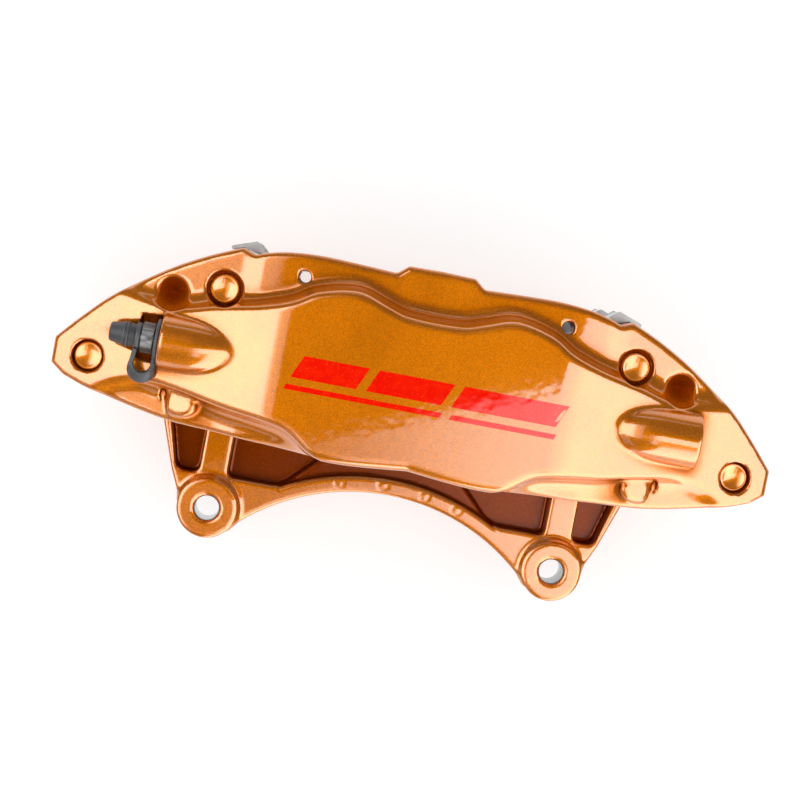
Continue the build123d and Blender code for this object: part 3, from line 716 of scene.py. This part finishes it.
def make_piston(side, end):
    """A turned cup, open towards the rotor, with a boot groove near its mouth."""
    node = f"piston_{side}_{end}"
    r = PISTON_R[end]
    mouth, back = PISTON_MOUTH, PISTON_BACK
    skirt = [(back, 0), (back, r - 1.2), (back - 1.2, r), (mouth + 2.9, r)]
    groove = [(mouth + 2.7, r - 0.8), (mouth + 1.4, r - 0.8), (mouth + 1.2, r), (mouth + 0.5, r)]
    lip = [(mouth, r - 0.5), (mouth, r - 3.6), (mouth + 0.4, r - 4.0)]
    cup = [(back - 5.5, r - 4.2), (back - 4.4, r - 5.2), (back - 4.0, r - 7), (back - 4.0, 0)]
    origin = (PISTON[end].x, ROTOR_MID_Y, PISTON[end].z)
    shape = turned(skirt + groove + lip + cup, origin, (0, SIDES[side], 0), segments=128)
    piece = new_piece(node + "_turned", *shape, "piston_alloy", "piston_alloy", node, 35)
    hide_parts(node)


def make_boot(side, end):
    """A bellows dust boot, from its seat in the bore's mouth to the groove in the piston."""
    node = f"dust_boot_{side}_{end}"
    r = PISTON_R[end]
    top = PISTON_MOUTH
    outside = [
        (2.5, 3.3), (2.2, 3.4), (1.5, 3.4), (0.9, 3.0), (0.5, 2.6), (0.75, 2.2), (1.5, 1.9), (0.8, 1.5),
        (0.25, 1.1), (0.1, 0.6), (0.1, 0.08),
    ]
    inside = [
        (0.7, 0.08), (0.8, 0.6), (1.1, 1.0), (1.9, 1.6), (2.2, 1.9), (1.8, 2.3), (1.4, 2.7), (1.8, 2.9),
        (2.5, 2.9),
    ]
    rows = [(top + along, r + out) for along, out in outside + inside]
    origin = Vector((PISTON[end].x, ROTOR_MID_Y, PISTON[end].z))
    shape = turned(rows, origin, (0, SIDES[side], 0), closed=True, segments=96)
    piece = new_piece(node + "_bellows", *shape, "seal_rubber", "seal_rubber", None)
    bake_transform(piece)
    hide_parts(node)


def make_plate(side, end):
    """A stainless abutment plate: a leg on the window's end and a wedge-shaped lip over the top edge."""
    node = f"abutment_plate_{side}_{end}"
    low, high = box_mm(node)
    sign = ENDS[end]
    inside, seat = PAD_WINDOW_HALF - 1.2, PAD_WINDOW_HALF - 0.05
    section = [
        (inside, low.z), (inside, 114.0), (inside + 0.3, 115.0), (74.5, 117.6), (75.2, 117.9),
        (84.2, 114.7), (84.7, 114.3), (84.5, 113.5), (79.6, 115.2), (75.0, 113.6), (seat, 113.9),
        (seat, low.z),
    ]
    near, far = low.y + 0.2, high.y - 0.2
    count = len(section)
    points = [(sign * x, y, z) for y in (near, far) for x, z in section]
    faces = [tuple(range(count)), tuple(reversed(range(count, 2 * count)))]
    faces += [(k, (k + 1) % count, count + (k + 1) % count, count + k) for k in range(count)]
    piece = new_piece(node + "_bent", points, faces, "plate_steel", "plate_steel", BODY, 30)
    bevel = piece.modifiers.new("edges", "BEVEL")
    bevel.width = 0.25 * MM
    bevel.segments = 2
    bevel.limit_method = "ANGLE"
    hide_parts(node)


def make_plate_screws():
    """Countersunk socket screws that hold the abutment plates."""
    socket = [(1.2, 0), (1.2, 1.2, 1.1), (-0.05, 1.2, 1.1)]
    head_and_shank = [(-0.05, 3.4), (0.2, 3.5), (1.9, 1.9), (9.0, 1.8), (9.6, 1.2), (9.6, 0)]
    parts = []
    for side in SIDES:
        y = centre_mm(f"abutment_plate_{side}_right").y
        for sign in ENDS.values():
            origin = (sign * (PAD_WINDOW_HALF - 1.15), y, BOSS_Z)
            parts.append(turned(socket + head_and_shank, origin, (sign, 0, 0), segments=48))
    piece = new_piece("plate_screws_turned", *merged(parts), "plate_steel", "plate_steel", BODY, 35)
    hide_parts("abutment_plate_screws")


def make_stripes():
    """A plain pair of red stripes on the face, broken by slanted gaps, lying on the paint."""
    parts = []
    for low_z, high_z, breaks in STRIPES:
        for left, right in zip(breaks[::2], breaks[1::2]):
            columns = max(2, int((right - left) / 2))
            points, faces = [], []
            for i in range(columns + 1):
                for z in (low_z, high_z):
                    x = left + (right - left) * i / columns + (z - low_z) * STRIPE_SLANT
                    top = float(fall(np.array(abs(x)), FACE_DEPTH - PRINT_THICK, FACE_FALL))
                    points += [(x, ROTOR_MID_Y - top - lift, z) for lift in (-0.3, PRINT_THICK / 2)]
            for i in range(columns):
                a, b = 4 * i, 4 * i + 4
                faces += [(a + 1, a + 3, b + 3, b + 1), (a, b, b + 2, a + 2)]
                faces += [(a, a + 1, b + 1, b), (a + 2, b + 2, b + 3, a + 3)]
            end = 4 * columns
            faces += [(0, 2, 3, 1), (end, end + 1, end + 3, end + 2)]
            parts.append((points, faces))
    new_piece("face_stripes", *merged(parts), "red_print", "gold_paint", BODY, 30)


# ------------------------------------------------------------------ materials
class Graph:
    """Short calls for building a node tree."""

    def __init__(self, tree):
        self.tree = tree
        tree.nodes.clear()

    def add(self, kind, **settings):
        node = self.tree.nodes.new(kind)
        for key, value in settings.items():
            setattr(node, key, value)
        return node

    def put(self, node, key, value):
        if hasattr(value, "links"):
            self.tree.links.new(value, node.inputs[key])
        elif isinstance(value, tuple) and len(value) == 3 and len(node.inputs[key].default_value) == 4:
            node.inputs[key].default_value = (*value, 1)
        else:
            node.inputs[key].default_value = value

    def math(self, operation, a, b=0.5):
        node = self.add("ShaderNodeMath", operation=operation)
        self.put(node, 0, a)
        self.put(node, 1, b)
        return node.outputs[0]

    def times(self, *factors):
        return reduce(lambda a, b: self.math("MULTIPLY", a, b), factors)

    def step(self, value, start, end, low=0.0, high=1.0):
        """Goes smoothly from low to high as value goes from start to end."""
        node = self.add("ShaderNodeMapRange", interpolation_type="SMOOTHSTEP")
        keys = ("Value", "From Min", "From Max", "To Min", "To Max")
        for key, number in zip(keys, (value, start, end, low, high)):
            self.put(node, key, number)
        return node.outputs[0]

    def mix(self, factor, a, b, blend="MIX"):
        node = self.add("ShaderNodeMix", data_type="RGBA", blend_type=blend)
        for key, value in zip((0, 6, 7), (factor, a, b)):
            self.put(node, key, value)
        return node.outputs[2]


class Surface(Graph):
    """A material's node tree, with texture calls in the frame's own metres."""

    def __init__(self, name):
        self.material = bpy.data.materials.new(name)
        self.material.use_nodes = True
        super().__init__(self.material.node_tree)
        self.coords = self.add("ShaderNodeTexCoord").outputs["Object"]
        self.output = self.add("ShaderNodeOutputMaterial").inputs["Surface"]

    def shader(self, **values):
        node = self.add("ShaderNodeBsdfPrincipled")
        for key, value in values.items():
            self.put(node, key.replace("_", " "), value)
        return node

    def finish(self, shader):
        self.tree.links.new(shader.outputs[0], self.output)
        return self.material

    def blend(self, factor, a, b):
        node = self.add("ShaderNodeMixShader")
        self.put(node, 0, factor)
        self.tree.links.new(a.outputs[0], node.inputs[1])
        self.tree.links.new(b.outputs[0], node.inputs[2])
        return node

    def noise(self, scale, detail=2.0, stretch=None):
        source = self.coords
        if stretch:
            mapping = self.add("ShaderNodeMapping")
            self.put(mapping, "Vector", source)
            mapping.inputs["Scale"].default_value = stretch
            source = mapping.outputs[0]
        node = self.add("ShaderNodeTexNoise")
        self.put(node, "Vector", source)
        node.inputs["Scale"].default_value = scale
        node.inputs["Detail"].default_value = detail
        return node.outputs["Fac"]

    def cells(self, scale):
        node = self.add("ShaderNodeTexVoronoi")
        self.put(node, "Vector", self.coords)
        node.inputs["Scale"].default_value = scale
        return node.outputs["Color"]

    def bump(self, height, distance, strength):
        node = self.add("ShaderNodeBump")
        self.put(node, "Height", height)
        node.inputs["Distance"].default_value = distance
        node.inputs["Strength"].default_value = strength
        return node.outputs["Normal"]

    def edges(self, start, end):
        """Rises on convex edges."""
        return self.step(self.add("ShaderNodeNewGeometry").outputs["Pointiness"], start, end)


def paint_shader(s, tints, flake_contrast=1.0, free=None):
    """Metallic gold under a thick clear coat, with fine flakes and some orange peel, and painted shade in
    recesses: a darker colour and a fainter coat there.
    """
    flakes = s.cells(3300)
    grey = s.step(flakes, 0.1, 0.9, 1 - 0.22 * flake_contrast, 1 + 0.22 * flake_contrast)
    base = s.mix(s.step(s.noise(14, 3), 0.3, 0.7), *tints)
    colour = s.mix(1.0, base, grey, "MULTIPLY")
    colour = s.mix(s.math("MULTIPLY", s.edges(0.54, 0.62), 0.35), colour, (0.9, 0.55, 0.2))
    coat = 1.0
    if free is not None:
        # painted shade: where the surface is hemmed in, the colour is darkened towards the painted shade tint and
        # the coat's reflection is faded
        colour = s.mix(s.step(free, 0.2, 0.97), s.mix(1.0, colour, PAINTED_SHADE_TINT, "MULTIPLY"), colour)
        coat = s.step(free, 0.5, 0.97, 0.1, 1.0)
    flake_tilt = s.bump(flakes, 0.00002, 0.35)
    peel = s.bump(s.noise(230, 1), 0.00006, 0.25)
    rough = s.step(s.noise(50), 0.3, 0.7, 0.30, 0.37)
    return s.shader(
        Base_Color=colour, Metallic=0.66, Roughness=rough, Normal=flake_tilt, Specular_IOR_Level=0.0,
        Coat_Weight=coat, Coat_Roughness=0.03, Coat_IOR=COAT_IOR, Coat_Normal=peel,
    )


def alloy_shader(s):
    """Machined bare aluminium."""
    tooling = s.noise(900, 1, (1, 0.06, 1))
    colour = s.mix(s.step(s.noise(35, 4), 0.35, 0.7), (0.62, 0.62, 0.63), (0.46, 0.45, 0.45))
    rough = s.step(s.noise(80, 3), 0.3, 0.7, 0.24, 0.42)
    return s.shader(Base_Color=colour, Metallic=1.0, Roughness=rough, Normal=s.bump(tooling, 0.00003, 0.4))


GOLD = ((0.64, 0.168, 0.001), (0.71, 0.195, 0.002))
# colour of the painted shade in recesses
PAINTED_SHADE_TINT = (0.30, 0.17, 0.34)
COAT_IOR = 2.0


def gold_paint():
    s = Surface("gold_metallic_paint")
    attribute = s.add("ShaderNodeAttribute", attribute_name="bare")
    ragged = s.math("ADD", attribute.outputs["Fac"], s.step(s.noise(400, 2), 0, 1, -0.15, 0.15))
    # the open attribute holds the painted shade and painted light from make_casting
    free = s.add("ShaderNodeAttribute", attribute_name="open").outputs["Fac"]
    return s.finish(s.blend(s.step(ragged, -0.05, 0.05), alloy_shader(s), paint_shader(s, GOLD, free=free)))


def painted_steel():
    s = Surface("gold_painted_steel")
    return s.finish(paint_shader(s, ((0.84, 0.23, 0.006), (0.92, 0.28, 0.012)), 0.5))


def piston_alloy():
    s = Surface("anodised_piston")
    rings = s.noise(700, 1, (0.02, 1, 0.02))
    colour = s.mix(s.step(s.noise(60, 4), 0.3, 0.75), (0.50, 0.50, 0.49), (0.34, 0.34, 0.35))
    colour = s.mix(s.edges(0.52, 0.58), colour, (0.72, 0.72, 0.72))
    rough = s.step(s.noise(90, 3), 0.3, 0.7, 0.26, 0.4)
    grain = s.bump(rings, 0.00003, 0.5)
    return s.finish(s.shader(Base_Color=colour, Metallic=1.0, Roughness=rough, Normal=grain))


def plate_steel():
    s = Surface("stainless_plate")
    brushed = s.noise(600, 2, (1, 0.04, 1))
    colour = s.mix(s.step(s.noise(70, 4), 0.35, 0.7), (0.62, 0.62, 0.62), (0.50, 0.50, 0.50))
    colour = s.mix(s.edges(0.52, 0.6), colour, (0.72, 0.72, 0.72))
    rough = s.step(brushed, 0.2, 0.8, 0.32, 0.48)
    grain = s.bump(brushed, 0.00001, 0.1)
    return s.finish(s.shader(Base_Color=colour, Metallic=0.7, Roughness=rough, Normal=grain))


def black_steel():
    s = Surface("dark_plated_steel")
    colour = s.mix(s.step(s.noise(160, 4), 0.35, 0.7), (0.055, 0.055, 0.06), (0.10, 0.10, 0.105))
    colour = s.mix(s.edges(0.52, 0.6), colour, (0.32, 0.31, 0.30))
    rough = s.step(s.noise(240, 3), 0.3, 0.7, 0.28, 0.45)
    grain = s.bump(s.noise(900, 2), 0.00003, 0.3)
    return s.finish(s.shader(Base_Color=colour, Metallic=0.75, Roughness=rough, Normal=grain))


def rubber(name, dark, light, rough):
    s = Surface(name)
    colour = s.mix(s.step(s.noise(120, 4), 0.3, 0.75), dark, light)
    colour = s.mix(s.edges(0.52, 0.62), colour, tuple(1.7 * c for c in light))
    grain = s.bump(s.noise(1500, 3), 0.00004, 0.5)
    rough = s.step(s.noise(300, 2), 0.3, 0.7, rough - 0.08, rough + 0.08)
    return s.finish(s.shader(Base_Color=colour, Roughness=rough, Normal=grain))


def red_print():
    s = Surface("red_print_under_clear_coat")
    colour = s.mix(s.step(s.noise(300, 3), 0.35, 0.7), (0.93, 0.006, 0.0005), (0.98, 0.014, 0.001))
    worn = s.step(s.noise(1200, 2), 0.62, 0.7)
    colour = s.mix(s.math("MULTIPLY", worn, 0.25), colour, (0.7, 0.2, 0.02))
    peel = s.bump(s.noise(230, 1), 0.00006, 0.25)
    return s.finish(s.shader(
        Base_Color=colour, Roughness=0.5, Specular_IOR_Level=0.0,
        Coat_Weight=0.45, Coat_Roughness=0.03, Coat_IOR=COAT_IOR, Coat_Normal=peel,
    ))


def make_materials():
    return {
        "gold_paint": gold_paint(),
        "painted_steel": painted_steel(),
        "piston_alloy": piston_alloy(),
        "plate_steel": plate_steel(),
        "black_steel": black_steel(),
        "seal_rubber": rubber("seal_rubber", (0.016, 0.016, 0.017), (0.03, 0.03, 0.031), 0.5),
        "cap_rubber": rubber("cap_rubber", (0.045, 0.045, 0.048), (0.085, 0.085, 0.09), 0.42),
        "red_print": red_print(),
    }


# ------------------------------------------------------------------ stage, light and camera
# brightness of the room that the paint mirrors, and of the white that every other ray sees
PLAIN_WHITE = 1.05
TABLE = 1.0
ROOM = 0.07
OVERHEAD = 0.06
STRIP = 1.2
DARK_PATCH = 0.012
SOFTBOX = 3.7


def make_world():
    """A studio for reflections: softboxes left and lower right of a dark patch, with a strip overhead.

    u and v are where a ray meets a screen one unit in front of the caliper, to the right and up.
    """
    world = bpy.data.worlds.new("studio")
    bpy.context.scene.world = world
    world.use_nodes = True
    g = Graph(world.node_tree)
    split = g.add("ShaderNodeSeparateXYZ")
    g.put(split, 0, g.add("ShaderNodeTexCoord").outputs["Generated"])
    x, y, z = split.outputs
    ahead = g.math("MAXIMUM", g.math("MULTIPLY", y, -1.0), 0.02)
    u, v = g.math("DIVIDE", x, ahead), g.math("DIVIDE", z, ahead)
    front = g.step(y, -0.35, -0.1, 1, 0)
    level = g.step(g.math("ABSOLUTE", z), 0.45, 0.85, ROOM, OVERHEAD)
    level = g.step(g.times(g.step(z, 0.90, 0.97), front), 0, 1, level, STRIP)
    level = g.step(g.step(y, -0.1, 0.2), 0, 1, level, TABLE)
    aside = g.math("ABSOLUTE", g.math("SUBTRACT", u, 0.05))
    patch = (g.step(aside, 0.16, 0.4, 1, 0), g.step(v, -0.28, -0.09), g.step(v, 0.12, 0.4, 1, 0))
    level = g.step(g.times(*patch, front), 0, 1, level, DARK_PATCH)
    # the right softbox lies under a slanted edge, and gets brighter to the right
    under_edge = g.math("SUBTRACT", g.math("SUBTRACT", g.math("MULTIPLY", u, 0.423), 0.09), v)
    right = g.times(
        g.step(under_edge, -0.004, 0.008),
        g.step(u, -0.03, 0.18, 0.15, 0.75),
        g.step(u, 0.2, 0.8, 1, 1.33),
        g.math("MAXIMUM", g.step(v, -0.5, -0.35), g.step(u, 0.2, 0.35)),
        g.step(x, 0.72, 0.84, 1, 0),
        g.step(y, 0.0, 0.2, 1, 0),
    )
    # the left softbox is dim at its near edge
    left = g.times(
        g.step(u, -0.16, -0.09, 1, 0),
        g.step(u, -1.5, -1.2),
        g.step(u, -0.4, -0.24, 1, 0.32),
        g.step(v, 0.5, 0.8, 1, 0),
        g.step(v, -0.7, -0.5),
        front,
    )
    # a low light in the middle, and a faint one at the lower left
    middle = g.times(
        g.step(v, -0.5, -0.3, 1, 0),
        g.step(v, -1.1, -0.75),
        g.step(u, -0.02, 0.1),
        g.step(u, 0.1, 0.3, 0.5, 0),
    )
    corner = g.times(g.step(u, -0.5, -0.4, 0.25, 0), g.step(v, -0.5, -0.3, 1, 0))
    low = g.times(g.math("MAXIMUM", middle, corner), front)
    boxes = g.math("MAXIMUM", g.math("MAXIMUM", right, left), low)
    level = g.step(boxes, 0, 1, level, SOFTBOX)
    mirrored_ray = g.add("ShaderNodeLightPath").outputs["Is Glossy Ray"]
    background = g.add("ShaderNodeBackground")
    g.put(background, "Color", (1.0, 1.0, 1.0))
    g.put(background, "Strength", g.step(mirrored_ray, 0, 1, PLAIN_WHITE, level))
    g.tree.links.new(background.outputs[0], g.add("ShaderNodeOutputWorld").inputs[0])


def make_floor():
    """The pale table that the caliper lies on. It fades out with distance and is clear from behind."""
    size, behind = 0.9, CAD_BOX[1].y + 0.0005
    mesh = bpy.data.meshes.new("floor")
    corners = [(-size, -size), (size, -size), (size, size), (-size, size)]
    mesh.from_pydata([(x, behind, z + BOSS_Z * MM) for x, z in corners], [], [(0, 1, 2, 3)])
    floor = bpy.data.objects.new("floor", mesh)
    bpy.context.scene.collection.objects.link(floor)
    s = Surface("pale_floor")
    distance = s.add("ShaderNodeVectorMath", operation="LENGTH")
    s.put(distance, 0, s.coords)
    from_below = s.add("ShaderNodeNewGeometry").outputs["Backfacing"]
    clear = s.math("MAXIMUM", s.step(distance.outputs["Value"], 0.35, 0.85), from_below)
    tone = s.mix(s.noise(6, 2), (0.55, 0.55, 0.55), (0.58, 0.58, 0.58))
    pale = s.shader(Base_Color=tone, Roughness=0.9, Emission_Color=(1, 1, 1), Emission_Strength=0.53)
    s.finish(s.blend(clear, pale, s.add("ShaderNodeBsdfTransparent")))
    mesh.materials.append(s.material)
    floor.visible_glossy = False


def make_camera():
    """A long lens nearly square to the face, rolled so that the caliper's left end is the higher one."""
    camera = bpy.data.objects.new("camera", bpy.data.cameras.new("camera"))
    camera.data.lens = 85
    camera.data.sensor_width = 36
    place = Vector((-50.4, -845.4, 108.8)) * MM
    aim = Vector((-8.17, -109.0, 67.59)) * MM
    roll = Matrix.Rotation(math.radians(10.92), 4, "Z")
    facing = (aim - place).to_track_quat("-Z", "Y").to_matrix().to_4x4()
    camera.matrix_world = Matrix.Translation(place) @ facing @ roll
    camera.data.clip_start = 0.01
    bpy.context.scene.collection.objects.link(camera)
    bpy.context.scene.camera = camera


# ------------------------------------------------------------------ the whole object
def paint_carried(node):
    """Seal rubber on a CAD node that shows as it is."""
    carried = frame["nodes"][node]
    carried.data.materials.clear()
    carried.data.materials.append(MATERIALS["seal_rubber"])


MATERIALS = make_materials()
make_casting("outer", outer_field, bare_outer, painted_light_in_cones, 30.0)
make_casting("inner", inner_field, bare_inner, painted_shade_in_pockets, -15.0)
make_bridge_bolts("end_bridge_bolts", END_BOLT)
make_bridge_bolts("upper_bridge_bolts", UPPER_BOLT)
make_plate_screws()
make_stripes()
for side in SIDES:
    make_bleed_screw(side)
    make_bleed_cap(side)
    make_tether(side)
    for end in ENDS:
        make_piston(side, end)
        make_boot(side, end)
        make_plate(side, end)
        paint_carried(f"piston_seal_{side}_{end}")
paint_carried("crossover_o_ring")

make_world()
make_floor()
make_camera()
bpy.context.scene.view_settings.view_transform = "Standard"
